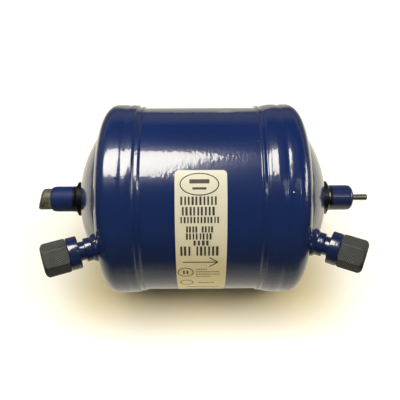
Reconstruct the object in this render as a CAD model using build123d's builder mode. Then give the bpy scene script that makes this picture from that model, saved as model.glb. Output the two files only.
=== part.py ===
from build123d import *

import os
from math import asin, cos, pi, radians, sin, sqrt

# Suction-line filter drier: a welded steel shell with a moulded desiccant core,
# a solder stub in each head, and a capped access valve beside each stub.
#
# Frame: +X is the flow direction along the drier's axis, +Z is up and -Y is the front,
# where the access valves stand. The origin is the middle of the shell, on its axis.
# All sizes are in millimetres and all angles in degrees.

os.makedirs("parts", exist_ok=True)

# ---------------------------------------------------------------- driving dimensions
SIDES = {"inlet": -1, "outlet": 1}

# shell tube and pressed heads
tube_radius = 42.7
tube_wall = 1.8
tube_half_length = 36.0
head_radius = 44.25
head_wall = 1.5
skirt_edge = 27.0            # where the head's skirt starts to round over to its weld
weld_toe = 23.6              # where the weld meets the shell tube
rim_width = 1.2              # rounding of the skirt's rim down to the groove
rim_drop = 0.85
bead_crest_reach = 1.2       # the bead's crest from its toe, and above the tube
bead_crest_height = 1.05
knuckle_start = 38.05        # end of the straight skirt
knuckle_length = 7.43        # elliptical shoulder, along the axis
knuckle_depth = 10.72        # elliptical shoulder, across the axis
dome_radius = 52.7           # raised spherical end
dome_centre = 4.6
dome_foot_fillet = 1.2

# solder stubs
stub_radius = 6.0
stub_bore = 4.8
stub_stop_bore = 4.0
stub_back = 49.5             # inner end of the stub
stub_stop = 60.0             # bottom of the solder socket
stub_end = 71.4
flare_radius = 8.0
flare_rim = 2.1              # straight rim of the flared collar
flare_length = 4.3           # whole flared collar
flare_waist = (0.57, 0.42)   # share of the flare's length, and height above the stub there
stub_lip = 0.6               # wall left at the drawn-in mouths
inlet_mouth_radius = 5.3     # the inlet stub is drawn in a little over its plug
inlet_mouth_length = 2.7
outlet_mouth_radius = 3.1    # the outlet stub is closed in over its plug
outlet_mouth_length = 2.6

# shipping plugs
inlet_plug_head_radius = 5.0
inlet_plug_reach = 8.0
inlet_plug_slant = 20.0
inlet_plug_edge = 0.9
plug_clearance = 0.02
plug_lead = (0.6, 1.2)       # tapered inner end of the plugs: across and along
stem_radius = 1.5
stem_reach = 7.3

# access valves: each is brazed into the dome's foot, leaning outwards
valve_rise = 8.0             # angle of the valves above the level, at the front
valve_plane = 46.0           # distance from mid-shell where the seat radii are taken
VALVES = {                   # seat radius, lean, collar reach along the valve
    "inlet": (32.6, 21.5, 4.0),
    "outlet": (29.3, 25.6, 5.7),
}
valve_collar_radius = 5.1
valve_neck_radius = 4.1
valve_neck_length = 3.1
valve_ring_radius = 6.8
valve_ring_length = 5.1
valve_thread_radius = 5.45   # 7/16-20 UNF, with the thread left plain
valve_thread_length = 6.8
valve_nose_length = 1.3
valve_nose_radius = 3.5
valve_tail = 11.0            # from the collar's outer face back into the shell
valve_edge = 0.35            # broken edges of the ring
valve_relief = (0.5, 0.8)    # undercut below the thread: depth and length
braze_radius = 6.9           # fillet of braze round the collar, where it meets the dome
braze_height = 4.2
braze_waist = (0.8, 0.2)     # its hollow: out from the collar, and above braze_height
braze_top = 2.8              # its top, below the collar's outer face
braze_foot = 1.6             # its foot, below braze_height

# valve core, inside the mouth of the valve
core_bore = 2.6
valve_bore = 1.9
core_seat = 5.85
core_length = 8.0
core_cavity_radius = 1.8
pin_radius = 0.7
pin_guide_clearance = 0.05
pin_recess = 0.6
pin_collar_radius = 1.5
pin_collar_length = 0.5
pin_valve_radius = 1.6
pin_valve_length = 0.9
pin_valve_gap = 0.1
core_spring_radius = 1.2
core_spring_wire = 0.3
core_spring_turns = 4

# moulded caps
cap_flats = 12.7
cap_corner_radius = 0.6
cap_length = 10.8
cap_bore_radius = 5.53
cap_end_wall = 1.5
cap_gap = 0.1
cap_chamfer_radius = 6.1     # where the turned end chamfer meets the end face
cap_chamfer_depth = 1.6
cap_skirt_chamfer = 0.55     # turned chamfer of the corners at the open end
CAP_TURN = {"inlet": 14.0, "outlet": 52.0}
seal_radius = 5.3
seal_thickness = 1.2

# label
label_width = 21.0
label_centre = -1.0          # a little nearer the inlet
label_thickness = 0.15
label_top_angle = 63.0       # above the level, on the front
label_bottom_angle = -46.0
label_corner = 1.8

# inside the shell
core_radius = 38.0
core_inlet_end = -26.0
core_outlet_end = 33.0
core_outlet_bore = 10.0
core_bore_depth = 42.0
pad_radius = 39.5
pad_thickness = 3.0
inlet_plate_radius = 38.5
inlet_plate_thickness = 1.2
outlet_plate_radius = 42.3
outlet_plate_thickness = 1.2
outlet_plate_seat = 38.1
plate_hole_radius = 2.2
plate_hole_rings = ((14.0, 8), (24.0, 14), (33.0, 20))
screen_radius = 9.2
screen_wall = 0.4
screen_length = 30.0
screen_rim_radius = 13.0
spring_radius = 15.0
spring_wire = 1.8
spring_turns = 3.5
spring_head_end = -52.4


# ---------------------------------------------------------------- planes and axes
def end_plane(side):
    """Half-section plane of one end: local x runs out along the axis, local y is the radius."""
    return Plane(origin=(0, 0, 0), x_dir=(side, 0, 0), z_dir=(0, -side, 0))


def valve_section(end):
    """Half-section plane of an access valve: local x is its radius, local y runs out along it.

    The origin is the centre of the collar's outer face.
    """
    seat, lean, reach = VALVES[end]
    side = SIDES[end]
    outward = Vector(0, -cos(radians(valve_rise)), sin(radians(valve_rise)))
    along = Vector(side * cos(radians(lean)), 0, 0) + outward * sin(radians(lean))
    across = Vector(-side * sin(radians(lean)), 0, 0) + outward * cos(radians(lean))
    start = Vector(side * valve_plane, 0, 0) + outward * seat + along * reach
    return Plane(origin=start, x_dir=across, z_dir=across.cross(along))


def valve_axis(end):
    """The valve's own axis, pointing out of its mouth."""
    section = valve_section(end)
    return Axis(section.origin, section.y_dir)


def valve_level(end, height):
    """Plane across the valve at a height above the collar's outer face."""
    section = valve_section(end)
    return Plane(
        origin=section.origin + section.y_dir * height,
        x_dir=section.x_dir,
        z_dir=section.y_dir,
    )


def dome_x(radius, wall=0.0):
    """Distance from mid-shell of the dome's surface at a radius, less a wall inside it."""
    return dome_centre + sqrt((dome_radius - wall) ** 2 - radius**2)


def finish(part, name):
    """Label a finished piece and write it to its own file."""
    part.label = name
    export_step(part, f"parts/{name}.step")


# ---------------------------------------------------------------- shell tube
with BuildPart() as shell_tube:
    with BuildSketch(Plane.YZ.offset(-tube_half_length)):
        Circle(tube_radius)
        Circle(tube_radius - tube_wall, mode=Mode.SUBTRACT)
    extrude(amount=2 * tube_half_length)
finish(shell_tube.part, "shell_tube")

# ---------------------------------------------------------------- pressed heads
# Each head is a deep-drawn cup: a skirt over the shell tube with its weld bead, an elliptical
# shoulder, and a raised dome with a hole for the stub and one for the access valve.
knuckle_end = knuckle_start + knuckle_length
knuckle_foot = head_radius - knuckle_depth
dome_foot = sqrt(dome_radius**2 - (knuckle_end - dome_centre) ** 2)
inner_knuckle_end = knuckle_end - head_wall
inner_dome_foot = sqrt((dome_radius - head_wall) ** 2 - (inner_knuckle_end - dome_centre) ** 2)
skirt_bore = head_radius - head_wall
groove_x = skirt_edge - rim_width
groove_radius = head_radius - rim_drop
bead_crest_x = weld_toe + bead_crest_reach
bead_crest_radius = tube_radius + bead_crest_height

for end, side in SIDES.items():
    section = end_plane(side)
    with BuildPart() as head:
        with BuildSketch(section):
            with BuildLine():
                Line((0, 0), (dome_centre + dome_radius, 0))
                dome = CenterArc(
                    (dome_centre, 0),
                    dome_radius,
                    0,
                    asin(dome_foot / dome_radius) * 180 / pi,
                )
                Line(dome @ 1, (knuckle_end, knuckle_foot))
                knuckle = EllipticalCenterArc(
                    (knuckle_start, knuckle_foot),
                    knuckle_length,
                    knuckle_depth,
                    start_angle=0,
                    arc_size=90,
                )
                Line(knuckle @ 1, (skirt_edge, head_radius))
                TangentArc(
                    (skirt_edge, head_radius), (groove_x, groove_radius), tangent=(-1, 0)
                )
                ThreePointArc(
                    (groove_x, groove_radius),
                    (bead_crest_x, bead_crest_radius),
                    (weld_toe, tube_radius),
                )
                Line((weld_toe, tube_radius), (0, tube_radius))
                Line((0, tube_radius), (0, 0))
            make_face()
        revolve(axis=Axis.X)
        foot_edges = head.edges().filter_by(GeomType.CIRCLE).filter_by(
            lambda edge: abs(abs(edge.center().X) - knuckle_end) < 0.01
            and abs(edge.radius - dome_foot) < 0.01
        )
        fillet(foot_edges, radius=dome_foot_fillet)
        # braze fillet round the access valve
        with BuildSketch(valve_section(end)):
            with BuildLine():
                Polyline(
                    (0, -valve_tail),
                    (braze_radius, -valve_tail),
                    (braze_radius, -braze_height - braze_foot),
                )
                Spline(
                    (braze_radius, -braze_height - braze_foot),
                    (valve_collar_radius + braze_waist[0], -braze_height + braze_waist[1]),
                    (valve_collar_radius, -braze_top),
                )
                Polyline((valve_collar_radius, -braze_top), (0, -braze_top), (0, -valve_tail))
            make_face()
        revolve(axis=valve_axis(end))
        # hollow the cup
        with BuildSketch(section):
            with BuildLine():
                Line((0, 0), (dome_centre + dome_radius - head_wall, 0))
                inner_dome = CenterArc(
                    (dome_centre, 0),
                    dome_radius - head_wall,
                    0,
                    asin(inner_dome_foot / (dome_radius - head_wall)) * 180 / pi,
                )
                Line(inner_dome @ 1, (inner_knuckle_end, knuckle_foot))
                inner_knuckle = EllipticalCenterArc(
                    (knuckle_start, knuckle_foot),
                    knuckle_length - head_wall,
                    knuckle_depth - head_wall,
                    start_angle=0,
                    arc_size=90,
                )
                Polyline(
                    inner_knuckle @ 1,
                    (tube_half_length, skirt_bore),
                    (tube_half_length, tube_radius),
                    (0, tube_radius),
                    (0, 0),
                )
            make_face()
        revolve(axis=Axis.X, mode=Mode.SUBTRACT)
        # holes for the stub and for the valve
        with BuildSketch(Plane.YZ.offset(side * stub_back)):
            Circle(stub_radius)
        extrude(amount=side * 20, mode=Mode.SUBTRACT)
        with BuildSketch(valve_level(end, -valve_tail)):
            Circle(valve_collar_radius)
        extrude(amount=valve_tail + 5, mode=Mode.SUBTRACT)
    finish(head.part, f"{end}_head")

# ---------------------------------------------------------------- solder stubs
flare_back = dome_x(flare_radius)
MOUTHS = {
    "inlet": (inlet_mouth_radius, inlet_mouth_length),
    "outlet": (outlet_mouth_radius, outlet_mouth_length),
}
for end, side in SIDES.items():
    mouth_radius, mouth_length = MOUTHS[end]
    taper_start = stub_end - mouth_length
    with BuildPart() as fitting:
        with BuildSketch(end_plane(side)):
            with BuildLine():
                Polyline(
                    (stub_back, 0),
                    (stub_back, stub_radius),
                    (dome_x(stub_radius), stub_radius),
                )
                CenterArc(
                    (dome_centre, 0),
                    dome_radius,
                    asin(stub_radius / dome_radius) * 180 / pi,
                    (asin(flare_radius / dome_radius) - asin(stub_radius / dome_radius)) * 180 / pi,
                )
                Line((flare_back, flare_radius), (flare_back + flare_rim, flare_radius))
                flare = ThreePointArc(
                    (flare_back + flare_rim, flare_radius),
                    (flare_back + flare_waist[0] * flare_length, stub_radius + flare_waist[1]),
                    (flare_back + flare_length, stub_radius),
                )
                Line(flare @ 1, (taper_start, stub_radius))
                mouth = EllipticalCenterArc(
                    (taper_start, mouth_radius),
                    mouth_length,
                    stub_radius - mouth_radius,
                    start_angle=0,
                    arc_size=90,
                )
                Polyline(mouth @ 0, (stub_end, 0), (stub_back, 0))
            make_face()
        revolve(axis=Axis.X)
        with BuildSketch(end_plane(side)):
            with BuildLine():
                Polyline(
                    (stub_back, 0),
                    (stub_back, stub_stop_bore),
                    (stub_stop, stub_stop_bore),
                    (stub_stop, stub_bore),
                    (taper_start, stub_bore),
                    (stub_end, min(stub_bore, mouth_radius - stub_lip)),
                    (stub_end, 0),
                    (stub_back, 0),
                )
            make_face()
        revolve(axis=Axis.X, mode=Mode.SUBTRACT)
    finish(fitting.part, f"{end}_fitting")

# ---------------------------------------------------------------- shipping plugs
plug_back = stub_stop + 1.0
inlet_plug_end = stub_end + inlet_plug_reach
with BuildPart() as inlet_plug:
    with BuildSketch(end_plane(-1)):
        with BuildLine():
            Polyline(
                (plug_back, 0),
                (plug_back, stub_bore - plug_lead[0]),
                (plug_back + plug_lead[1], stub_bore - plug_clearance),
                (stub_end - inlet_mouth_length, stub_bore - plug_clearance),
                (stub_end, min(stub_bore, inlet_mouth_radius - stub_lip) - plug_clearance),
                (stub_end + 0.05, inlet_plug_head_radius),
                (inlet_plug_end + 3, inlet_plug_head_radius),
                (inlet_plug_end + 3, 0),
                (plug_back, 0),
            )
        make_face()
    revolve(axis=Axis.X)
    slant_plane = Plane(
        origin=(-inlet_plug_end, 0, -inlet_plug_head_radius),
        x_dir=(0, 1, 0),
        z_dir=(-cos(radians(inlet_plug_slant)), 0, sin(radians(inlet_plug_slant))),
    )
    split(bisect_by=slant_plane, keep=Keep.BOTTOM)
    fillet(inlet_plug.faces().sort_by(Axis.X)[0].edges(), radius=inlet_plug_edge)
finish(inlet_plug.part, "inlet_plug")

outlet_plug_face = stub_end + 0.15
with BuildPart() as outlet_plug:
    with BuildSketch(end_plane(1)):
        with BuildLine():
            Polyline(
                (plug_back, stem_radius),
                (plug_back, stub_bore - plug_lead[0]),
                (plug_back + plug_lead[1], stub_bore - plug_clearance),
                (stub_end - outlet_mouth_length, stub_bore - plug_clearance),
                (stub_end, outlet_mouth_radius - stub_lip - plug_clearance),
                (outlet_plug_face, outlet_mouth_radius - 1.0),
                (outlet_plug_face, stem_radius),
                (plug_back, stem_radius),
            )
        make_face()
    revolve(axis=Axis.X)
finish(outlet_plug.part, "outlet_plug")

with BuildPart() as outlet_plug_stem:
    with BuildSketch(Plane.YZ.offset(plug_back + 2.0)):
        Circle(stem_radius)
    extrude(amount=stub_end + stem_reach - plug_back - 2.0)
    chamfer(outlet_plug_stem.faces().sort_by(Axis.X)[-1].edges(), length=0.2)
finish(outlet_plug_stem.part, "outlet_plug_stem")

# ---------------------------------------------------------------- access valves
ring_base = valve_neck_length
ring_top = ring_base + valve_ring_length
thread_top = ring_top + valve_thread_length
valve_mouth = thread_top + valve_nose_length

for end in SIDES:
    with BuildPart() as valve_body:
        with BuildSketch(valve_section(end)):
            with BuildLine():
                Polyline(
                    (valve_bore, -valve_tail),
                    (valve_collar_radius - 0.8, -valve_tail),
                    (valve_collar_radius, -valve_tail + 0.8),
                    (valve_collar_radius, -0.3),
                    (valve_collar_radius - 0.3, 0),
                    (valve_neck_radius, 0),
                    (valve_neck_radius, ring_base),
                    (valve_ring_radius - valve_edge, ring_base),
                    (valve_ring_radius, ring_base + valve_edge),
                    (valve_ring_radius, ring_top - valve_edge),
                    (valve_ring_radius - valve_edge, ring_top),
                    (valve_thread_radius - valve_relief[0], ring_top),
                    (valve_thread_radius - valve_relief[0], ring_top + valve_relief[1]),
                    (valve_thread_radius, ring_top + valve_relief[1] + 0.3),
                    (valve_thread_radius, thread_top - 0.4),
                    (valve_thread_radius - 0.5, thread_top),
                    (valve_nose_radius, valve_mouth),
                    (core_bore, valve_mouth),
                    (core_bore, core_seat),
                    (valve_bore, core_seat - 0.7),
                    (valve_bore, -valve_tail),
                )
            make_face()
        revolve(axis=valve_axis(end))
    finish(valve_body.part, f"{end}_valve_body")

# ---------------------------------------------------------------- valve cores
# A screwed-in core: a body with a guided pin, a spring that holds the pin's disc shut.
core_base = core_seat + 0.3
core_top = core_base + core_length
cavity_base = core_base + 1.0
cavity_top = core_top - 1.6
pin_top = valve_mouth - pin_recess
disc_top = core_base - pin_valve_gap
disc_base = disc_top - pin_valve_length
collar_top = cavity_top - 0.15
collar_base = collar_top - pin_collar_length
guide_radius = pin_radius + pin_guide_clearance

for end in SIDES:
    section = valve_section(end)
    axis = valve_axis(end)
    with BuildPart() as core_body:
        with BuildSketch(section):
            Polygon(
                (guide_radius, core_base),
                (core_bore - 0.4, core_base),
                (core_bore, core_base + 0.4),
                (core_bore, core_top),
                (guide_radius, core_top),
                (guide_radius, cavity_top),
                (core_cavity_radius, cavity_top),
                (core_cavity_radius, cavity_base),
                (guide_radius, cavity_base),
                align=None,
            )
        revolve(axis=axis)
    finish(core_body.part, f"{end}_core_body")

    with BuildPart() as core_pin:
        with BuildSketch(section):
            Polygon(
                (0, disc_base),
                (pin_valve_radius, disc_base),
                (pin_valve_radius, disc_top),
                (pin_radius, disc_top),
                (pin_radius, collar_base),
                (pin_collar_radius, collar_base),
                (pin_collar_radius, collar_top),
                (pin_radius, collar_top),
                (pin_radius, pin_top - 0.2),
                (pin_radius - 0.2, pin_top),
                (0, pin_top),
                align=None,
            )
        revolve(axis=axis)
    finish(core_pin.part, f"{end}_core_pin")

    coil_base = cavity_base + core_spring_wire / 2 + 0.05
    coil_height = collar_base - core_spring_wire / 2 - 0.05 - coil_base
    with BuildPart() as core_spring:
        with BuildLine():
            coil = Helix(
                pitch=coil_height / core_spring_turns,
                height=coil_height,
                radius=core_spring_radius,
                center=valve_level(end, coil_base).origin,
                direction=axis.direction,
            )
        with BuildSketch(Plane(origin=coil @ 0, z_dir=coil % 0)):
            RegularPolygon(core_spring_wire / 2, 6)
        sweep(is_frenet=True)
    finish(core_spring.part, f"{end}_core_spring")

# ---------------------------------------------------------------- caps and their seals
cap_base = ring_top + cap_gap
cap_top = cap_base + cap_length
cap_floor = cap_top - cap_end_wall
cap_corner = cap_flats / sqrt(3)
seal_top = cap_floor - 0.05
seal_base = seal_top - seal_thickness

for end in SIDES:
    section = valve_section(end)
    axis = valve_axis(end)
    with BuildPart() as cap:
        with BuildSketch(valve_level(end, cap_base)) as cap_outline:
            RegularPolygon(cap_flats / 2, 6, major_radius=False, rotation=CAP_TURN[end])
            fillet(cap_outline.vertices(), radius=cap_corner_radius)
        extrude(amount=cap_length)
        with BuildSketch(section):
            Polygon(
                (0, cap_base - 1),
                (cap_corner - cap_skirt_chamfer, cap_base - 1),
                (cap_corner + 0.3, cap_base + cap_skirt_chamfer),
                (cap_corner + 0.3, cap_top - cap_chamfer_depth),
                (cap_chamfer_radius, cap_top - 0.25),
                (cap_chamfer_radius - 0.5, cap_top),
                (0, cap_top),
                align=None,
            )
        revolve(axis=axis, mode=Mode.INTERSECT)
        with BuildSketch(section):
            Polygon(
                (0, cap_base - 1),
                (cap_bore_radius + 0.4, cap_base - 1),
                (cap_bore_radius + 0.4, cap_base),
                (cap_bore_radius, cap_base + 0.4),
                (cap_bore_radius, cap_floor),
                (0, cap_floor),
                align=None,
            )
        revolve(axis=axis, mode=Mode.SUBTRACT)
    finish(cap.part, f"{end}_cap")

    with BuildPart() as cap_seal:
        with BuildSketch(valve_level(end, seal_base)):
            Circle(seal_radius)
        extrude(amount=seal_thickness)
    finish(cap_seal.part, f"{end}_cap_seal")

# ---------------------------------------------------------------- label
# A paper-thin strip wrapped round the front of the shell tube.
with BuildPart() as label:
    with BuildSketch(Plane.XY):
        with Locations((label_centre, -(tube_radius + label_thickness / 2))):
            Rectangle(label_width, label_thickness)
    revolve(axis=Axis.X, revolution_arc=label_top_angle - label_bottom_angle)
    fillet(label.edges().filter_by(GeomType.LINE).filter_by(
        lambda edge: edge.length < 2 * label_thickness), radius=label_corner)
label_turned = label.part.rotate(Axis.X, -label_top_angle)
finish(label_turned, "label")

# ---------------------------------------------------------------- inside the shell
with BuildPart() as desiccant_core:
    with BuildSketch(Plane.YZ.offset(core_inlet_end)):
        Circle(core_radius)
    extrude(amount=core_outlet_end - core_inlet_end)
    fillet(desiccant_core.edges().filter_by(GeomType.CIRCLE), radius=2.0)
    with BuildSketch(Plane.YZ.offset(core_outlet_end)):
        Circle(core_outlet_bore)
    extrude(amount=-core_bore_depth, mode=Mode.SUBTRACT)
finish(desiccant_core.part, "desiccant_core")

with BuildPart() as inlet_pad:
    with BuildSketch(Plane.YZ.offset(core_inlet_end - pad_thickness)):
        Circle(pad_radius)
    extrude(amount=pad_thickness)
finish(inlet_pad.part, "inlet_pad")

with BuildPart() as outlet_pad:
    with BuildSketch(Plane.YZ.offset(core_outlet_end)):
        Circle(pad_radius)
        Circle(core_outlet_bore, mode=Mode.SUBTRACT)
    extrude(amount=outlet_plate_seat - core_outlet_end)
finish(outlet_pad.part, "outlet_pad")

inlet_plate_x = core_inlet_end - pad_thickness - inlet_plate_thickness
with BuildPart() as inlet_plate:
    with BuildSketch(Plane.YZ.offset(inlet_plate_x)):
        Circle(inlet_plate_radius)
        for ring_radius, hole_count in plate_hole_rings:
            with PolarLocations(ring_radius, hole_count):
                Circle(plate_hole_radius, mode=Mode.SUBTRACT)
    extrude(amount=inlet_plate_thickness)
finish(inlet_plate.part, "inlet_plate")

with BuildPart() as outlet_plate:
    with BuildSketch(Plane.YZ.offset(outlet_plate_seat)):
        Circle(outlet_plate_radius)
        Circle(screen_radius, mode=Mode.SUBTRACT)
        for ring_radius, hole_count in plate_hole_rings[1:]:
            with PolarLocations(ring_radius, hole_count):
                Circle(plate_hole_radius, mode=Mode.SUBTRACT)
    extrude(amount=outlet_plate_thickness)
finish(outlet_plate.part, "outlet_plate")

screen_mouth = outlet_plate_seat + outlet_plate_thickness
with BuildPart() as outlet_screen:
    with BuildSketch(end_plane(1)):
        Polygon(
            (screen_mouth - screen_length, 0),
            (screen_mouth - screen_length, screen_radius),
            (screen_mouth, screen_radius),
            (screen_mouth, screen_rim_radius),
            (screen_mouth + screen_wall, screen_rim_radius),
            (screen_mouth + screen_wall, screen_radius - screen_wall),
            (screen_mouth - screen_length + screen_wall, screen_radius - screen_wall),
            (screen_mouth - screen_length + screen_wall, 0),
            align=None,
        )
    revolve(axis=Axis.X)
finish(outlet_screen.part, "outlet_screen")

spring_plate_end = inlet_plate_x - spring_wire / 2
spring_height = spring_plate_end - spring_head_end
with BuildPart() as inlet_spring:
    with BuildLine():
        coil = Helix(
            pitch=spring_height / spring_turns,
            height=spring_height,
            radius=spring_radius,
            center=(spring_head_end, 0, 0),
            direction=(1, 0, 0),
        )
    with BuildSketch(Plane(origin=coil @ 0, z_dir=coil % 0)):
        Circle(spring_wire / 2)
    sweep(is_frenet=True)
finish(inlet_spring.part, "inlet_spring")
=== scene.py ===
import math

import bmesh
import bpy
import numpy as np
from mathutils import Matrix, Vector


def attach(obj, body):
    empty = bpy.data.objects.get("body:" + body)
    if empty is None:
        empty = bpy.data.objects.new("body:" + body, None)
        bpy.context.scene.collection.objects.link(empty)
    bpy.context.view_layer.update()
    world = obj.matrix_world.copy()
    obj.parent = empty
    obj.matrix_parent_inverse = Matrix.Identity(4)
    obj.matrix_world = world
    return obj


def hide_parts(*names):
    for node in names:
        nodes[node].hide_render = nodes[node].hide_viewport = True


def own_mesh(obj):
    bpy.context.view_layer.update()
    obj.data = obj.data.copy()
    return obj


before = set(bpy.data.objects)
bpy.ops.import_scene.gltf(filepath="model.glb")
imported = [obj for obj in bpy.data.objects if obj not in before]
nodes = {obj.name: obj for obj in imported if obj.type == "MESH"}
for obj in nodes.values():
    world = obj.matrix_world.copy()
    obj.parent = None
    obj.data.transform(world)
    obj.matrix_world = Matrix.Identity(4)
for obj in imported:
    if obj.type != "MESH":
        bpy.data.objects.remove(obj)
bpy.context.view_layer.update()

# ------------------------------------------------------------------ shell tube
# The barrel of the drier: drawn steel tube, 85.4 mm across, welded into a pressed head at
# each end and then enamelled as one piece. The enamel is baked on, deep blue and glossy,
# with a fine orange peel, so lights show on it as bright patches with crinkled edges.
tube_radius = 42.7
tube_wall = 1.8
tube_half = 36.0
enamel_blue, enamel_deep = "#172F66", "#12265A"
# The near-black is heat-darkened paint and also painted shade where the dome meets the stub's
# collar.
burnt_and_shade_black, torch_grey, rubbed_olive = "#06070B", "#1B1C1E", "#A79B4E"
shade_mm, gloss_mm = 28.0, 34.0      # slow changes of shade and of gloss over the shell
peel_mm = 1.1                # one dimple of the orange peel, across the shell
flow_mm = 3.2                # longer waves, where the wet paint sagged round it
peel_height = 0.04           # mm, of the dimples and of the waves
mm = 0.001                   # a millimetre in metres


def linear(colour):
    """An sRGB hex colour as linear red, green, blue and alpha."""
    srgb = [int(colour[i:i + 2], 16) / 255 for i in (1, 3, 5)]
    return [c / 12.92 if c <= 0.04045 else ((c + 0.055) / 1.055) ** 2.4 for c in srgb] + [1.0]


def join(material, source, target):
    """Give a socket a value, or link it to a socket, or to a node's first open output."""
    if isinstance(source, bpy.types.Node):
        source = next(output for output in source.outputs if output.enabled)
    if isinstance(source, bpy.types.NodeSocket):
        material.node_tree.links.new(source, target)
    else:
        target.default_value = source


def add(material, kind, inputs=(), settings=()):
    """Add one shader node, with its inputs by name or place and its settings by name."""
    node = material.node_tree.nodes.new("ShaderNode" + kind)
    for name, value in dict(settings).items():
        setattr(node, name, value)
    for name, value in dict(inputs).items():
        join(material, value, node.inputs[name])
    return node


def finish_of(name, levels):
    """A new material, its surface shader at these levels, and the object's own coordinates."""
    material = bpy.data.materials.new(name)
    material.use_nodes = True
    surface = material.node_tree.nodes["Principled BSDF"]
    for socket, level in levels.items():
        surface.inputs[socket].default_value = level
    return material, surface, add(material, "TexCoord").outputs["Object"]


def per_mm(size):
    """Texture scale, per metre, of a pattern whose features are this many millimetres apart."""
    return 1000.0 / size


SMOOTH = {"interpolation_type": "SMOOTHSTEP"}    # settings that many nodes share
TIMES = {"operation": "MULTIPLY"}
COLOURS = {"data_type": "RGBA"}


def enamel(name, burnt_and_shaded=(), coat=1.0, roughness=0.25, smoke=0.0, scuff=(), shine=0.5):
    """Baked enamel: a deep colour under a clear gloss that breaks lights into ragged patches.

    burnt_and_shaded lists four |x| in mm: the paint is near black from the second to the third,
    and it fades out towards the first and the fourth; this is partly paint that brazing heat has
    darkened and partly painted shade where the dome meets the stub's collar. smoke is the share of
    grey-black that the torch has left all over. scuff is the middle, x and y in mm, and the
    half length and half width of an olive rub mark on the upper side. shine is the specular
    level under the coat.
    """
    material, surface, place = finish_of(name, {
        "IOR": 1.5, "Specular IOR Level": shine,
        "Coat Weight": coat, "Coat Roughness": 0.04, "Coat IOR": 1.5})
    tone = add(material, "TexNoise", {"Vector": place, "Scale": per_mm(shade_mm), "Detail": 3.0})
    colour = add(material, "Mix", {0: tone, 6: linear(enamel_deep), 7: linear(enamel_blue)},
                 COLOURS)
    if smoke:
        film = add(material, "TexNoise", {"Vector": place, "Scale": per_mm(5.0), "Detail": 4.0})
        share = add(material, "MapRange", {0: film, 1: 0.3, 2: 0.7, 3: smoke * 0.6, 4: smoke * 1.4})
        colour = add(material, "Mix", {0: share, 6: colour, 7: linear(torch_grey)}, COLOURS)
    # Near-black band by the collar: heat-darkened paint plus painted shade.
    if burnt_and_shaded:
        split = add(material, "SeparateXYZ", {0: place})
        reach = add(material, "Math", {0: split.outputs["X"]}, {"operation": "ABSOLUTE"})
        ends = []
        for near, far in ((burnt_and_shaded[0], burnt_and_shaded[1]), (burnt_and_shaded[3], burnt_and_shaded[2])):
            step = {0: reach, 1: near * mm, 2: far * mm, 3: 0.0, 4: 1.0}
            ends.append(add(material, "MapRange", step, SMOOTH))
        soot_and_shade = add(material, "Math", {0: ends[0], 1: ends[1]}, TIMES)
        colour = add(material, "Mix", {0: soot_and_shade, 6: colour, 7: linear(burnt_and_shade_black)}, COLOURS)
    if scuff:
        fade_from, fade_to = 0.4, 1.4    # shares of the mark's half length and half width
        frayed = add(material, "TexNoise", {"Vector": place, "Scale": per_mm(1.2), "Detail": 4.0})
        inside = add(material, "MapRange", {0: frayed, 1: 0.42, 2: 0.58, 3: 0.15, 4: 0.85})
        split = add(material, "SeparateXYZ", {0: place})
        for axis, middle, half in (("X", scuff[0], scuff[2]), ("Y", scuff[1], scuff[3])):
            off = add(material, "Math", {0: split.outputs[axis], 1: middle * mm},
                      {"operation": "SUBTRACT"})
            away = add(material, "Math", {0: off}, {"operation": "ABSOLUTE"})
            step = {0: away, 1: half * fade_from * mm, 2: half * fade_to * mm, 3: 1.0, 4: 0.0}
            near = add(material, "MapRange", step, SMOOTH)
            inside = add(material, "Math", {0: inside, 1: near}, TIMES)
        upper = add(material, "Math", {0: split.outputs["Z"], 1: 0.0},
                    {"operation": "GREATER_THAN"})
        rubbed = add(material, "Math", {0: inside, 1: upper}, TIMES)
        colour = add(material, "Mix", {0: rubbed, 6: colour, 7: linear(rubbed_olive)}, COLOURS)
    join(material, colour, surface.inputs["Base Color"])
    gloss = add(material, "TexNoise", {"Vector": place, "Scale": per_mm(gloss_mm), "Detail": 1.0})
    rough = add(material, "MapRange", {0: gloss, 1: 0.2, 2: 0.8,
                                       3: roughness * 0.94, 4: roughness * 1.06})
    join(material, rough, surface.inputs["Roughness"])
    drawn = add(material, "Mapping", {"Vector": place, "Scale": (1.0, 0.6, 0.6)})
    peel = add(material, "TexNoise", {"Vector": drawn, "Scale": per_mm(peel_mm), "Detail": 1.0})
    flow = add(material, "TexNoise", {"Vector": drawn, "Scale": per_mm(flow_mm), "Detail": 1.0})
    wave = add(material, "Bump", {"Height": flow, "Strength": 1.0, "Distance": peel_height * mm})
    dimple = add(material, "Bump", {"Height": peel, "Strength": 1.0,
                                    "Distance": peel_height * mm, "Normal": wave})
    join(material, dimple, surface.inputs["Normal"])
    join(material, dimple, surface.inputs["Coat Normal"])
    return material


def placed(name, data):
    """A new object with this data, at the origin of the scene."""
    piece = bpy.data.objects.new(name, data)
    bpy.context.scene.collection.objects.link(piece)
    return piece


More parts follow.
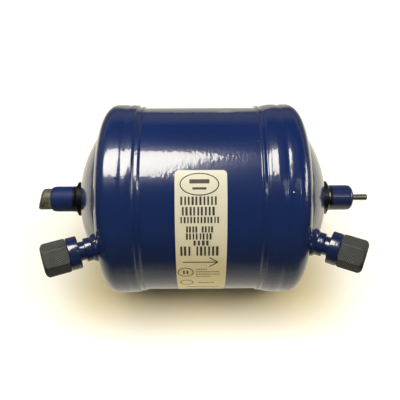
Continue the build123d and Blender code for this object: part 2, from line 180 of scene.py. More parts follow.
def skin(name, points, material, uv=None, sharp=35.0):
    """A closed surface over a grid of points in mm.

    Neighbouring points of the grid make quads. Where the first and last columns, the first
    and last rows, or a whole row meet, their points are merged, which closes seams and poles.
    The faces are turned so that the volume they enclose is positive. Edges sharper than the
    angle in degrees stay sharp.
    """
    same_place = 2e-7        # metres: points nearer than this are one
    rows, cols = points.shape[:2]
    at = np.arange(rows * cols).reshape(rows, cols)
    quads = np.stack([at[:-1, :-1], at[:-1, 1:], at[1:, 1:], at[1:, :-1]], axis=-1).reshape(-1, 4)
    flat = points.reshape(-1, 3) * mm
    a, b, c, d = (flat[quads[:, k]] for k in range(4))
    volume = np.einsum("ij,ij->", a, np.cross(b, c)) + np.einsum("ij,ij->", a, np.cross(c, d))
    if volume < 0:
        quads = quads[:, ::-1]
    mesh = bpy.data.meshes.new(name)
    mesh.from_pydata(flat, [], quads)
    if uv is not None:
        layer = mesh.uv_layers.new(name="UVMap")
        layer.data.foreach_set("uv", uv.reshape(-1, 2)[quads.ravel()].astype(np.float32).ravel())
    merged = bmesh.new()
    merged.from_mesh(mesh)
    bmesh.ops.remove_doubles(merged, verts=merged.verts, dist=same_place)
    merged.to_mesh(mesh)
    merged.free()
    mesh.polygons.foreach_set("use_smooth", np.ones(len(mesh.polygons), bool))
    mesh.set_sharp_from_angle(angle=math.radians(sharp))
    mesh.materials.append(material)
    return placed(name, mesh)


def rounded(corners, steps=5):
    """A profile through corners (along, radius, cut): each corner is cut back and bridged by
    a parabola that is tangent to both sides. A cut of 0 keeps the corner."""
    most = 0.49              # share of a side that the cut at one of its ends may take
    corners = np.array(corners, float)
    path = []
    for k, (x, r, cut) in enumerate(corners):
        here = np.array([x, r])
        if cut == 0 or k in (0, len(corners) - 1):
            path.append(here[None])
            continue
        before = corners[k - 1, :2] - here
        after = corners[k + 1, :2] - here
        before *= min(cut / np.linalg.norm(before), most)
        after *= min(cut / np.linalg.norm(after), most)
        t = np.linspace(0, 1, steps + 1)[:, None]
        path.append(here + before * (1 - t) ** 2 + after * t**2)
    return np.vstack(path)


def grid_of(profile, angle):
    """A profile's along and radius, each repeated for every angle."""
    return (np.repeat(profile[:, :1], len(angle), axis=1),
            np.repeat(profile[:, 1:], len(angle), axis=1))


def turned(profile, side=1, count=240):
    """Points of a profile (along, radius) carried round the drier's own axis.

    side is +1 at the outlet and -1 at the inlet. Returns the points and the angle of each column.
    """
    angle = np.linspace(0, 2 * np.pi, count + 1)
    x, r = grid_of(profile, angle)
    return np.stack([side * x, -r * np.cos(angle), r * np.sin(angle)], axis=-1), angle


blue = enamel("baked_blue_enamel")
rub_mark = (10.0, 16.0, 3.0, 1.5)    # behind the top of the barrel
blue_rubbed = enamel("baked_blue_enamel_rubbed", scuff=rub_mark)
tube_profile = rounded([
    (-tube_half, tube_radius, 0), (tube_half, tube_radius, 0),
    (tube_half, tube_radius - tube_wall, 0), (-tube_half, tube_radius - tube_wall, 0),
    (-tube_half, tube_radius, 0),
])
tube_points, _ = turned(tube_profile, count=360)
barrel = skin("shell_barrel", tube_points, blue_rubbed)
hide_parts("shell_tube")
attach(barrel, "drier")

# ------------------------------------------------------------------ pressed heads
# Deep-drawn steel cups, 88.5 mm across, pushed over the tube and welded to it all round. The
# skirt's edge is rolled in, then come a groove and the bead, laid in one pass with a slight
# ripple and a lump where it stopped. The die left the skirt wavy. Enamelled with the tube.
head_radius = 44.25
head_wall = 1.5
dome_radius, dome_centre = 52.7, 4.6
knuckle_start, knuckle_length, knuckle_depth = 38.05, 7.43, 10.72
stub_radius = 6.0
ROLLS = {                    # where each skirt starts to roll in, its slope in degrees, its rim
    "inlet": (33.0, 4.6, 29.1),
    "outlet": (30.9, 9.0, 27.1),
}
ROLL_SHIFT = {"inlet": 3.4, "outlet": 0.6}   # how much nearer the rim the roll starts on top
shift_degrees = (50.0, 70.0, 110.0, 140.0)   # up from the front: it fades in, then out again
CREASES = {"inlet": 32.9, "outlet": 34.2}    # a faint ring that the die left round each skirt
crease_depth, crease_width = 0.24, 1.1
bead_back, bead_half = 2.4, 0.8      # from the rim to the bead's crest, and its half width
bead_ripple_mm = 2.6         # distance between the ripples of the weld
bead_ripple, bead_lumps = 0.03, 0.12         # how far the bead's crest rises and falls, in mm
rim_wave, rim_sway, crease_sway = 0.07, 0.2, 0.3     # how far rim and crease wander, in mm
stop_x, stop_degrees, stop_height = 25.6, 138.0, 1.1     # the lump where the weld stopped
stop_half_x, stop_half_angle = 1.6, 0.055
scorch_and_shade = (55.4, 56.2, 60.6, 61.8)    # |x| of the paint darkened by brazing heat, and of painted shade at the collar


def wander(angle, waves, seed):
    """Smooth noise round a circle, about -1 to 1: a sum of sines of whole numbers of turns,
    with seeded phases, each weaker as it is finer."""
    rng = np.random.default_rng(seed)
    phases = rng.uniform(0, 2 * np.pi, len(waves))
    strengths = 1 / np.sqrt(np.arange(1, len(waves) + 1))
    total = sum(s * np.sin(w * angle + p) for w, p, s in zip(waves, phases, strengths))
    return total / strengths.sum()


def dome_x(radius, wall=0.0):
    """Distance from mid-shell of the dome at a radius: its centre plus the sphere's height."""
    return dome_centre + np.sqrt((dome_radius - wall) ** 2 - np.square(radius))


def head_profile(roll_start, roll_slope, rim):
    """Outside of a head from the stub's hole to the weld's toe, then back inside the cup. The
    dome is a sphere, the shoulder a quarter of an ellipse, and a parabola joins them; then
    come the straight skirt, its roll and the weld, set off from the rim."""
    foot = knuckle_start + knuckle_length
    foot_radius = head_radius - knuckle_depth
    dome_r = np.linspace(stub_radius, 33.0, 40)
    dome = np.stack([dome_x(dome_r), dome_r], axis=1)
    t = np.linspace(np.radians(4), np.pi / 2, 28)
    shoulder = np.stack([knuckle_start + knuckle_length * np.cos(t),
                         foot_radius + knuckle_depth * np.sin(t)], axis=1)
    corner = np.array([foot - 0.06, foot_radius - 0.06])
    s = np.linspace(0, 1, 8)[1:-1, None]
    valley = dome[-1] * (1 - s) ** 2 + 2 * corner * s * (1 - s) + shoulder[0] * s**2
    skirt_x = np.linspace(knuckle_start, roll_start, 22)[1:]
    skirt = np.stack([skirt_x, np.full_like(skirt_x, head_radius)], axis=1)
    roll_x = np.linspace(roll_start, rim, 14)[1:]
    fall = math.tan(math.radians(roll_slope)) * (roll_start - roll_x)
    roll = np.stack([roll_x, head_radius - fall], axis=1)
    edge = roll[-1, 1]
    weld = rounded([
        (rim, edge, 0), (rim - 0.45, edge - 0.1, 0.35), (rim - 1.05, 43.1, 0.4),
        (rim - 2.45, 43.5, 0.15), (rim - 3.3, 42.75, 0.25), (rim - 3.8, tube_radius - 0.05, 0),
        (rim - 4.1, tube_radius - 0.15, 0),
    ])[1:]
    inner_r = np.linspace(32.4, stub_radius, 20)
    t = np.linspace(np.pi / 2, np.radians(12), 12)
    inside = np.vstack([
        [[tube_half, tube_radius - 0.15], [tube_half, head_radius - head_wall]],
        np.stack([knuckle_start + (knuckle_length - head_wall) * np.cos(t),
                  foot_radius + (knuckle_depth - head_wall) * np.sin(t)], axis=1),
        np.stack([dome_x(inner_r, head_wall), inner_r], axis=1),
        dome[:1],
    ])
    return np.vstack([dome, valley, shoulder, skirt, roll, weld, inside])


def head_points(end, side, seed):
    """The head's profile carried round the axis. Bell curves of x (e to the minus square of
    the distance over a half width) carry the bead's ripple and lumps, the rim's waves, the
    crease and the weld's stop, each times a sum of sines of the angle or a constant."""
    roll_start, roll_slope, rim = ROLLS[end]
    profile = head_profile(*ROLLS[end])
    angle = np.linspace(0, 2 * np.pi, 421)
    x, r = grid_of(profile, angle)
    outside = r > tube_radius + 0.02
    high = np.interp(np.degrees(angle), shift_degrees, (0, 1, 1, 0))
    late = roll_start - ROLL_SHIFT[end] * high * high * (3 - 2 * high)
    flatter = np.clip(roll_start - x, 0, None) - np.clip(late - x, 0, None)
    r = r + (x > rim - 0.1) * outside * math.tan(math.radians(roll_slope)) * flatter
    bead = np.exp(-((x - rim + bead_back) / bead_half) ** 2) * outside
    ripples = round(2 * np.pi * tube_radius / bead_ripple_mm)
    ripple = np.sin(ripples * angle + 1.5 * wander(angle, (3, 5, 9), seed))
    lumps = wander(angle, (2, 3, 5, 8, 13, 21), seed + 1)
    r = r + bead * (bead_ripple * ripple + bead_lumps * lumps)
    edge = np.exp(-((x - rim + 0.3) / 0.9) ** 2) * outside
    r = r + edge * rim_wave * wander(angle, (2, 5, 9, 14, 23), seed + 2)
    x = x + (edge + bead) * rim_sway * wander(angle, (3, 7, 12, 19), seed + 3)
    crease = CREASES[end] + crease_sway * wander(angle, (2, 3, 7), seed + 4)
    dip = crease_depth * np.exp(-((x - crease) / crease_width) ** 2)
    r = r - (x > rim) * outside * dip
    if end == "outlet":
        turn_off = (angle - math.radians(stop_degrees)) / stop_half_angle
        lump = np.exp(-((x - stop_x) / stop_half_x) ** 2 - turn_off**2)
        r = r + lump * stop_height * outside
    y, z = -r * np.cos(angle), r * np.sin(angle)
    return np.stack([side * x, y, z], axis=-1)


# The heads are painted near black round the stub: heat-darkened paint, and painted shade where the
# dome meets the collar.
blue_burnt_and_shaded = enamel("heat_darkened_and_shaded_enamel", burnt_and_shaded=scorch_and_shade)
for end, side, seed in (("inlet", -1, 11), ("outlet", 1, 29)):
    head = skin(f"{end}_pressed_head", head_points(end, side, seed), blue_burnt_and_shaded)
    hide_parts(f"{end}_head")
    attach(head, "drier")

# ------------------------------------------------------------------ drops in the paint
# Drops of enamel that dried before they had flowed out, one on each skirt and three on the
# tube. Each is a low dome of the same paint, too small for more than a glint and a dark side.
DROPS = [                    # x, degrees up from the front, radius, height and surface, in mm
    (-35.0, 58.5, 0.7, 0.35, head_radius), (36.0, 50.2, 0.9, 0.4, head_radius),
    (16.9, 68.8, 0.5, 0.28, tube_radius), (22.8, 81.3, 0.45, 0.25, tube_radius),
    (11.5, 84.2, 0.3, 0.12, tube_radius),
]


def drop_points(x, degrees, size, height, surface):
    """Rings round a place on the shell, raised by the height times the squared cosine of
    their distance from the middle, and closed by a point under the paint."""
    sunk, root = 0.02, 0.3   # how far its edge and its last point lie under the surface
    columns = 25
    t = np.linspace(0, 1, 9)[:, None]
    turn = np.linspace(0, 2 * np.pi, columns)[None, :]
    up = math.radians(degrees)
    along = x + size * t * np.cos(turn)
    angle = up + size * t * np.sin(turn) / surface
    r = surface - sunk + height * np.cos(t * np.pi / 2) ** 2 + 0 * turn
    top = np.stack([along, -r * np.cos(angle), r * np.sin(angle)], axis=-1)
    foot = (surface - root) * np.array([0, -math.cos(up), math.sin(up)]) + [x, 0, 0]
    return np.concatenate([top, np.broadcast_to(foot, (1, columns, 3))])


for number, spot in enumerate(DROPS, 1):
    drop = skin(f"paint_drop_{number}", drop_points(*spot), blue)
    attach(drop, "drier")

# ------------------------------------------------------------------ solder stubs
# Steel tube stubs for 3/8 in pipe, brazed into the middle of each head through a flared
# collar. They are enamelled over their shipping plugs; heat has blackened the collar's rim,
# and the same near-black paint stands in as painted shade where the collar meets the dome.
flare_radius, flare_rim, flare_length = 8.0, 2.1, 4.3
stub_end, stub_back, stub_stop = 71.4, 49.5, 60.0
stub_bore, stop_bore = 4.8, 4.0
out_of_round = 0.012         # share of the radius
STUBS = {                    # side; the mouth's radius, length and wall; coat, roughness, shine
    "inlet": (-1, (5.3, 2.7, 0.6), 0.0, 0.5, 0.12),
    "outlet": (1, (3.1, 2.6, 0.6), 0.6, 0.32, 0.9),
}


def stub_profile(mouth_radius, mouth_length, lip):
    """Flared collar seated on the dome, plain tube, drawn-in mouth, then the stepped bore. The
    flare is a parabola and the mouth a quarter of an ellipse."""
    seat = dome_x(flare_radius)
    taper = stub_end - mouth_length
    t = np.linspace(0, 1, 9)[:, None]
    flare = (np.array([seat + flare_rim, flare_radius]) * (1 - t) ** 2
             + 2 * np.array([seat + flare_rim + 0.35, stub_radius + 0.15]) * t * (1 - t)
             + np.array([seat + flare_length, stub_radius]) * t**2)
    t = np.linspace(np.pi / 2, np.radians(6), 12)
    mouth = np.stack([taper + mouth_length * np.cos(t),
                      mouth_radius + (stub_radius - mouth_radius) * np.sin(t)], axis=1)
    inner = min(stub_bore, mouth_radius - lip)
    return np.vstack([
        [[stub_back, stub_radius], [dome_x(stub_radius), stub_radius],
         [seat - 0.1, flare_radius - 0.3], [seat + 0.15, flare_radius]],
        [[seat + flare_rim - 0.25, flare_radius]],
        flare, mouth,
        rounded([(stub_end, mouth_radius - 0.15, 0), (stub_end, inner, 0),
                 (taper, stub_bore, 0), (stub_stop, stub_bore, 0), (stub_stop, stop_bore, 0),
                 (stub_back, stop_bore, 0), (stub_back, stub_radius, 0)]),
    ])


for end, (side, mouth, coat, rough, shine) in STUBS.items():
    stub_points, angle = turned(stub_profile(*mouth), side, 96)
    uneven = 1 + out_of_round * wander(angle, (2, 3, 5), 40 + side)
    stub_points[:, :, 1:] *= uneven[:, None]
    finish = enamel(f"{end}_stub_enamel", burnt_and_shaded=scorch_and_shade, coat=coat, roughness=rough, smoke=0.15,
                    shine=shine)
    stub = skin(f"{end}_stub", stub_points, finish)
    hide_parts(f"{end}_fitting")
    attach(stub, "drier")

# ------------------------------------------------------------------ shipping plugs
# The inlet's plug is a soft olive plastic peg, cut off on the slant and scuffed along its
# edges. The outlet is closed by a painted-over disc, from which a short bare wire stands.
slant = math.tan(math.radians(20.0))
cut_start, cut_length = 72.0, 6.0    # |x| where the end begins to slant, and on to its full slant
low_edge_out = 0.8           # how much further out the cut's lowest edge lies
plug_radius = 5.0
plug_dent = 0.06             # share of the radius


def worn_plastic(name, body, worn, grain_mm, roughness):
    """Moulded plastic, dull and fine-grained, and paler where noise and sharp edges meet, as
    where it has been rubbed."""
    grain_height = 0.12      # mm
    material, surface, place = finish_of(name, {"Roughness": roughness, "IOR": 1.46})
    grain = add(material, "TexNoise", {"Vector": place, "Scale": per_mm(grain_mm), "Detail": 4.0})
    patch = add(material, "TexNoise", {"Vector": place, "Scale": per_mm(3.5), "Detail": 3.0})
    edge = add(material, "NewGeometry")
    rubbed = add(material, "Math", {0: patch, 1: edge.outputs["Pointiness"]}, TIMES)
    share = add(material, "MapRange", {0: rubbed, 1: 0.22, 2: 0.34, 3: 0.0, 4: 1.0})
    colour = add(material, "Mix", {0: share, 6: linear(body), 7: linear(worn)}, COLOURS)
    join(material, colour, surface.inputs["Base Color"])
    bump = add(material, "Bump", {"Height": grain, "Strength": 0.8, "Distance": grain_height * mm})
    join(material, bump, surface.inputs["Normal"])
    return material


olive = worn_plastic("moulded_polyethylene", "#403F36", "#6E6B59", 0.8, 0.5)
plug_profile = rounded([
    (61.0, 0.0, 0), (61.0, 4.2, 0), (62.2, 4.78, 0.3), (68.7, 4.78, 0), (71.42, 4.68, 0.1),
    (71.5, plug_radius, 0.2), (73.0, plug_radius, 0), (75.5, plug_radius, 0),
    (77.6, plug_radius, 0.6), (78.5, 4.2, 0.5), (78.6, 1.5, 0.6), (78.6, 0.0, 0),
])
plug_points, angle = turned(plug_profile, -1, 96)
cut = np.clip((-plug_points[:, :, 0] - cut_start) / cut_length, 0, 1)
plug_points[:, :, 0] += cut * (-low_edge_out + slant * (plug_points[:, :, 2] + plug_radius))
dent = cut * plug_dent * wander(angle, (2, 3, 4, 7), 5)
plug_points[:, :, 1:] *= (1 + dent)[:, :, None]
plug = skin("inlet_peg", plug_points, olive)
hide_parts("inlet_plug")
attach(plug, "drier")


def bare_metal(name, colour, roughness, streak_mm, axis="X"):
    """Drawn or turned metal: fine streaks that run along the axis, which spread its gloss."""
    streak_height = 0.03     # mm
    material, surface, place = finish_of(name, {"Metallic": 1.0})
    stretch = {"X": (0.05, 1.0, 1.0), "Y": (1.0, 0.05, 1.0)}[axis]
    along = add(material, "Mapping", {"Vector": place, "Scale": stretch})
    streak = add(material, "TexNoise", {"Vector": along, "Scale": per_mm(streak_mm), "Detail": 3.0})
    tone = add(material, "MapRange", {0: streak, 1: 0.3, 2: 0.7, 3: 0.8, 4: 1.0})
    shade = add(material, "Mix", {0: tone, 6: linear("#55534C"), 7: linear(colour)}, COLOURS)
    join(material, shade, surface.inputs["Base Color"])
    rough = add(material, "MapRange", {0: streak, 1: 0.3, 2: 0.7,
                                       3: roughness * 0.8, 4: roughness * 1.2})
    join(material, rough, surface.inputs["Roughness"])
    bump = add(material, "Bump", {"Height": streak, "Strength": 0.5,
                                  "Distance": streak_height * mm})
    join(material, bump, surface.inputs["Normal"])
    return material


def dress(node, material):
    """Give one of the solids from the frame its material."""
    nodes[node].data.materials.clear()
    nodes[node].data.materials.append(material)


dress("outlet_plug", blue)
dress("outlet_plug_stem", bare_metal("drawn_steel_wire", "#C9C6BC", 0.34, 0.4))

# ------------------------------------------------------------------ access valves
# Turned steel bodies: a collar brazed into the foot of the dome, a narrow neck, a plain
# shoulder ring and a 7/16-20 thread for the cap. Enamelled up to the thread with the shell.
VALVES = {                   # its seat on the dome's foot, side, and lean off the drier's axis
    "inlet": (np.array([-49.722, -33.734, 4.741]), -1, 21.5),
    "outlet": (np.array([51.140, -31.454, 4.421]), 1, 25.6),
}
valve_rise = 8.0             # both valves lie in planes that rise this much towards the front
collar_radius, neck_radius, ring_radius = 5.1, 4.1, 7.1
collar_top, ring_base, ring_top = 1.2, 3.6, 8.2
thread_radius, thread_depth, thread_pitch = 5.45, 0.65, 1.27
thread_top, valve_mouth, mouth_bore = 15.0, 16.3, 2.6
core_seat, valve_tail, tail_bore = 5.85, 11.0, 1.9


def around(end, radius, height, angle):
    """Points at a radius, height and angle about a valve's own axis. The axis leans from the
    drier's own axis to the front; across is square to it in the plane of that lean."""
    origin, side, lean = VALVES[end]
    lean, rise = np.radians([lean, valve_rise])
    outward = np.array([0.0, -math.cos(rise), math.sin(rise)])
    axis = np.array([side * math.cos(lean), 0.0, 0.0]) + outward * math.sin(lean)
    across = np.array([-side * math.sin(lean), 0.0, 0.0]) + outward * math.cos(lean)
    over = np.cross(axis, across)
    return (origin + height[..., None] * axis
            + (radius * np.cos(angle))[..., None] * across
            + (radius * np.sin(angle))[..., None] * over)


def valve_grid(end):
    """The body's profile, height then radius, carried round the valve. On the thread the
    radius falls by a triangle wave of height over pitch less the turn, which winds it up."""
    root = thread_radius - 0.6
    below = rounded([
        (-valve_tail, tail_bore, 0), (-valve_tail, 4.3, 0), (-valve_tail + 0.8, collar_radius, 0),
        (collar_top, collar_radius, 0.4), (collar_top, neck_radius, 0.25),
        (ring_base, neck_radius, 0.3),
        (ring_base, ring_radius, 0.5), (ring_top, ring_radius, 0.5),
        (ring_top, root, 0.2), (ring_top + 0.9, root, 0),
    ])
    rows = np.arange(ring_top + 1.0, thread_top, 0.105)
    thread = np.stack([rows, np.full_like(rows, thread_radius)], axis=1)
    above = rounded([
        (thread_top, root, 0), (valve_mouth, 3.5, 0.3), (valve_mouth, mouth_bore, 0.2),
        (core_seat, mouth_bore, 0), (core_seat - 0.7, tail_bore, 0), (-valve_tail, tail_bore, 0),
    ])
    profile = np.vstack([below, thread, above])
    angle = np.linspace(0, 2 * np.pi, 97)
    height, radius = grid_of(profile, angle)
    on_thread = np.zeros(len(profile), bool)
    on_thread[len(below):len(below) + len(thread)] = True
    turn = (height / thread_pitch - angle / (2 * np.pi)) % 1.0
    groove = thread_depth * np.clip(1.25 * np.abs(2 * turn - 1) - 0.1, 0, 1)
    radius = radius - on_thread[:, None] * groove
    return around(end, radius, height, np.broadcast_to(angle, height.shape))


def braze_grid(end, seed):
    """A hollow fillet of filler metal round the collar. Sums of sines of the angle push it
    out and up, the more so the further it lies from the collar."""
    inner = collar_radius - 0.05
    push_out, push_up = 0.9, 0.8
    profile = np.array([
        (-1.5, inner), (-1.7, 5.35), (-2.2, 5.75), (-2.8, 6.1), (-3.6, 6.5), (-4.4, 6.85),
        (-5.4, 7.15), (-6.6, 7.3), (-8.0, 7.3), (-10.5, 6.9), (-10.5, inner), (-1.5, inner),
    ])
    angle = np.linspace(0, 2 * np.pi, 121)
    height, radius = grid_of(profile, angle)
    spread = np.clip((radius - inner) / 2.0, 0, 1)
    radius = radius + spread * push_out * wander(angle, (2, 3, 5, 8, 11), seed)
    height = height + spread * push_up * wander(angle, (3, 4, 7), seed + 1)
    return around(end, radius, height, np.broadcast_to(angle, height.shape))


coil_foot, coil_rise = 7.35, 4.35
coil_radius, coil_wire, coil_turns = 1.2, 0.15, 4


def coil_points(end):
    """A helix with a round wire: the turn gives the angle and the rise, and a circle in the
    plane of the valve's axis and the radius goes round it. The wire's ends close in a point."""
    turn = np.linspace(0, 2 * np.pi * coil_turns, 24 * coil_turns + 1)[:, None]
    turn = np.concatenate([turn[:1], turn, turn[-1:]])
    wire = np.full((len(turn), 1), coil_wire)
    wire[[0, -1]] = 0.0
    circle = np.linspace(0, 2 * np.pi, 13)[None, :]
    radius = coil_radius + wire * np.cos(circle)
    height = coil_foot + coil_rise * turn / (2 * np.pi * coil_turns) + wire * np.sin(circle)
    return around(end, radius, height, turn + 0 * circle)


brass = bare_metal("turned_brass", "#C8A25A", 0.28, 0.3)
spring_steel = bare_metal("spring_steel_wire", "#9A9A9C", 0.35, 0.2)
smoked = enamel("smoked_enamel", smoke=0.4)
for end, seed in (("inlet", 3), ("outlet", 8)):
    body = skin(f"{end}_valve", valve_grid(end), smoked)
    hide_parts(f"{end}_valve_body")
    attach(body, "drier")
    braze = skin(f"{end}_braze", braze_grid(end, seed), smoked)
    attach(braze, "drier")
    dress(f"{end}_core_body", brass)
    dress(f"{end}_core_pin", brass)
    coil = skin(f"{end}_core_coil", coil_points(end), spring_steel)
    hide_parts(f"{end}_core_spring")
    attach(coil, "drier")
    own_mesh(coil)

# ------------------------------------------------------------------ caps
# Hexagon caps moulded in near-black nylon, 12.7 mm across flats, screwed down on the valves.
# The flats carry a fine moulded hatch that has gone grey and dusty, with painted light making the
# upward flats paler; the end is chamfered.
cap_flats, cap_corner = 12.7, 0.6
cap_base, cap_length, cap_end_wall = ring_top + 0.1, 10.8, 1.5
cap_bore, bore_mouth = 5.53, 5.95
cap_blend = 0.12             # rounding where the flats run out into the turned ends
hatch_mm = 0.75              # drawn about twice as coarse as the real one, so that it shows
CAP_TURN = {"inlet": 14.0, "outlet": 52.0}


def hexagon(angle):
    """Radius of a hexagon with round corners: the flat's distance over the cosine to its
    middle, and near a corner the far crossing of the ray with the corner's circle."""
    to_flat = (angle + np.pi / 6) % (np.pi / 3) - np.pi / 6
    flat = cap_flats / 2 / np.cos(to_flat)
    off = np.abs(to_flat) - np.pi / 6
    centre = (cap_flats / 2 - cap_corner) / math.cos(np.pi / 6)
    inside = np.clip(cap_corner**2 - (centre * np.sin(off)) ** 2, 0, None)
    corner = centre * np.cos(off) + np.sqrt(inside)
    on_corner = np.abs(to_flat) > math.atan(math.tan(np.pi / 6) * (1 - 2 * cap_corner / cap_flats))
    return np.where(on_corner, corner, flat)


def cap_grid(end):
    """The hexagon's radius, held inside a turned profile, and the bore back to its floor. The
    smaller of the two radii is eased by a parabola where they cross."""
    top = cap_base + cap_length
    outer = rounded([
        (cap_base, bore_mouth, 0), (cap_base, 6.75, 0.3), (cap_base + 0.6, 7.7, 0.3),
        (cap_base + 3.0, 7.9, 0), (cap_base + 6.0, 7.9, 0), (top - 1.9, 7.9, 0.5),
        (top - 0.35, 6.25, 0.9), (top, 5.3, 0.5), (top, 2.6, 0), (top - 0.15, 2.2, 0.1),
        (top - 0.15, 0.0, 0),
    ])
    rows = np.arange(cap_base + 0.7, top - 3.4, 0.14)
    bore = np.stack([rows, np.full_like(rows, cap_bore)], axis=1)
    floor = top - cap_end_wall
    inner = np.vstack([[[cap_base, bore_mouth], [cap_base + 0.45, cap_bore]], bore,
                       [[top - 3.2, cap_bore], [floor, cap_bore], [floor, 0.0]]])
    profile = np.vstack([outer[::-1], inner])
    angle = np.linspace(-np.pi, np.pi, 289)
    height, limit = grid_of(profile, angle)
    hexed = hexagon(angle - math.radians(CAP_TURN[end] + 30.0))
    gap = np.clip((limit - hexed) / cap_blend, -1, 1)
    radius = np.minimum(limit, hexed) - cap_blend * (1 - np.abs(gap)) ** 2 / 4
    radius = np.where(limit < bore_mouth - 0.05, limit, radius)
    radius[len(outer) + 2:] = limit[len(outer) + 2:]
    arc = angle * (cap_flats / 2 + 0.25)
    uv = np.stack([np.broadcast_to(arc, height.shape), height], axis=-1) * mm
    return around(end, radius, height, np.broadcast_to(angle, height.shape)), uv


def hatched_nylon():
    """Nylon with a crossed hatch in its own surface coordinates. Dust lies on the hatch's
    crests, which makes the flats look grey; the share is raised on what faces up, as painted
    light from above that makes the upper flats paler."""
    hatch_height = 0.14      # mm
    material, surface, place = finish_of("hatched_nylon", {"Roughness": 0.5, "IOR": 1.53})
    sheet = add(material, "TexCoord").outputs["UV"]
    lines = []
    for tilt in (45.0, -45.0):
        turned_sheet = add(material, "Mapping", {"Vector": sheet,
                                                 "Rotation": (0, 0, math.radians(tilt))})
        lines.append(add(material, "TexWave", {
            "Vector": turned_sheet, "Scale": per_mm(hatch_mm) * np.pi / 10,
            "Distortion": 1.2, "Detail": 1.0, "Detail Scale": 1.5},
            {"wave_type": "BANDS", "bands_direction": "X", "wave_profile": "SIN"}))
    crossed = add(material, "Math", {0: lines[0].outputs["Fac"], 1: lines[1].outputs["Fac"]}, TIMES)
    dust = add(material, "TexNoise", {"Vector": place, "Scale": per_mm(4.0), "Detail": 5.0})
    amount = add(material, "Math", {0: crossed, 1: dust}, TIMES)
    facing = add(material, "SeparateXYZ", {0: add(material, "NewGeometry").outputs["Normal"]})
    # Painted light: what faces up gets more of the pale tone, as if lit from above.
    painted_top_light = add(material, "MapRange", {0: facing.outputs["Z"], 1: 0.2, 2: 1.0, 3: 0.1, 4: 1.7})
    dust_and_top_light = add(material, "Math", {0: amount, 1: painted_top_light}, TIMES)
    share = add(material, "MapRange", {0: dust_and_top_light, 1: 0.0, 2: 0.6, 3: 0.0, 4: 1.0})
    colour = add(material, "Mix", {0: share, 6: linear("#121518"), 7: linear("#696D6D")}, COLOURS)
    join(material, colour, surface.inputs["Base Color"])
    bump = add(material, "Bump", {"Height": crossed, "Strength": 0.9, "Distance": hatch_height * mm})
    join(material, bump, surface.inputs["Normal"])
    return material


nylon = hatched_nylon()
rubber = worn_plastic("moulded_neoprene", "#151515", "#262626", 0.5, 0.7)
for end in VALVES:
    cap_points, cap_uv = cap_grid(end)
    cap = skin(f"{end}_hex_cap", cap_points, nylon, cap_uv, sharp=50.0)
    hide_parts(f"{end}_cap")
    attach(cap, f"{end}_cap")
    dress(f"{end}_cap_seal", rubber)

# ------------------------------------------------------------------ label
# A strip of cream-white polyester film stuck round the front of the shell, printed in dark
# grey. The print here is plain: rows of small blocks, three rings, bars and the flow arrow.
label_radius = tube_radius + 0.15


def label_film():
    """Yellowed white film with a satin laminate: very slight mottling, and a soft gloss."""
    material, surface, place = finish_of("polyester_label_film", {"Roughness": 0.38})
    mottle = add(material, "TexNoise", {"Vector": place, "Scale": per_mm(6.0), "Detail": 4.0})
    colour = add(material, "Mix", {0: mottle, 6: linear("#E0DBC6"), 7: linear("#EBE6D2")}, COLOURS)
    join(material, colour, surface.inputs["Base Color"])
    bump = add(material, "Bump", {"Height": mottle, "Strength": 0.3, "Distance": 0.1 * mm})
    join(material, bump, surface.inputs["Normal"])
    return material


dress("label", label_film())

ink_height, ink_root = 0.025, -0.02      # the print's top and foot, from the film's face
per_degree = math.pi / 180 * label_radius


def stroke(path, width, closed=False):
    """A printed line: corners of a thin bar carried along a path of (x, arc) points in mm.

    The bar's two sides are the path moved half a width along its normals. Returns rows of
    the four corners, as x, arc and height over the film.
    """
    path = np.array(path, float)
    if closed:
        run = np.roll(path, -1, axis=0) - np.roll(path, 1, axis=0)
    else:
        run = np.gradient(path, axis=0)
    run /= np.linalg.norm(run, axis=1)[:, None]
    side = np.stack([-run[:, 1], run[:, 0]], axis=1) * width / 2
    left, right = path + side, path - side
    top, foot = np.full((len(path), 1), ink_height), np.full((len(path), 1), ink_root)
    return np.stack([np.hstack([left, top]), np.hstack([right, top]),
                     np.hstack([right, foot]), np.hstack([left, foot])], axis=1)


def printed(name, strokes, material):
    """All printed bars in one mesh, wrapped on the label: arc over radius is the angle."""
    points, faces, start = [], [], 0
    for bar, closed in strokes:
        count = len(bar)
        at = np.arange(count * 4).reshape(count, 4) + start
        following = np.roll(at, -1, axis=0) if closed else at[1:]
        rows = at if closed else at[:-1]
        beside, beyond = np.roll(rows, -1, axis=1), np.roll(following, -1, axis=1)
        faces.append(np.stack([rows, beside, beyond, following], axis=-1).reshape(-1, 4))
        if not closed:
            faces.append(np.array([at[0, ::-1], at[-1]]))
        points.append(bar.reshape(-1, 3))
        start += count * 4
    flat = np.vstack(points)
    radius, angle = label_radius + flat[:, 2], flat[:, 1] / label_radius
    place = np.stack([flat[:, 0], -radius * np.cos(angle), radius * np.sin(angle)], axis=1)
    mesh = bpy.data.meshes.new(name)
    mesh.from_pydata(place * mm, [], np.vstack(faces)[:, ::-1])
    mesh.materials.append(material)
    return placed(name, mesh)


def row_of_blocks(x0, x1, top, foot, count, seed, gaps=()):
    """One line of the print: upright blocks of uneven width, evenly spread from x0 to x1 and
    each moved a little, between two angles in degrees."""
    rng = np.random.default_rng(seed)
    pitch = (x1 - x0) / count
    bars = []
    for k in range(count):
        if k in gaps:
            continue
        width = pitch * rng.uniform(0.42, 0.62)
        middle = x0 + pitch * (k + 0.5) + pitch * rng.uniform(-0.06, 0.06)
        arc = np.linspace(foot, top, 3) * per_degree
        bars.append((stroke(np.stack([np.full(3, middle), arc], axis=1), width), False))
    return bars


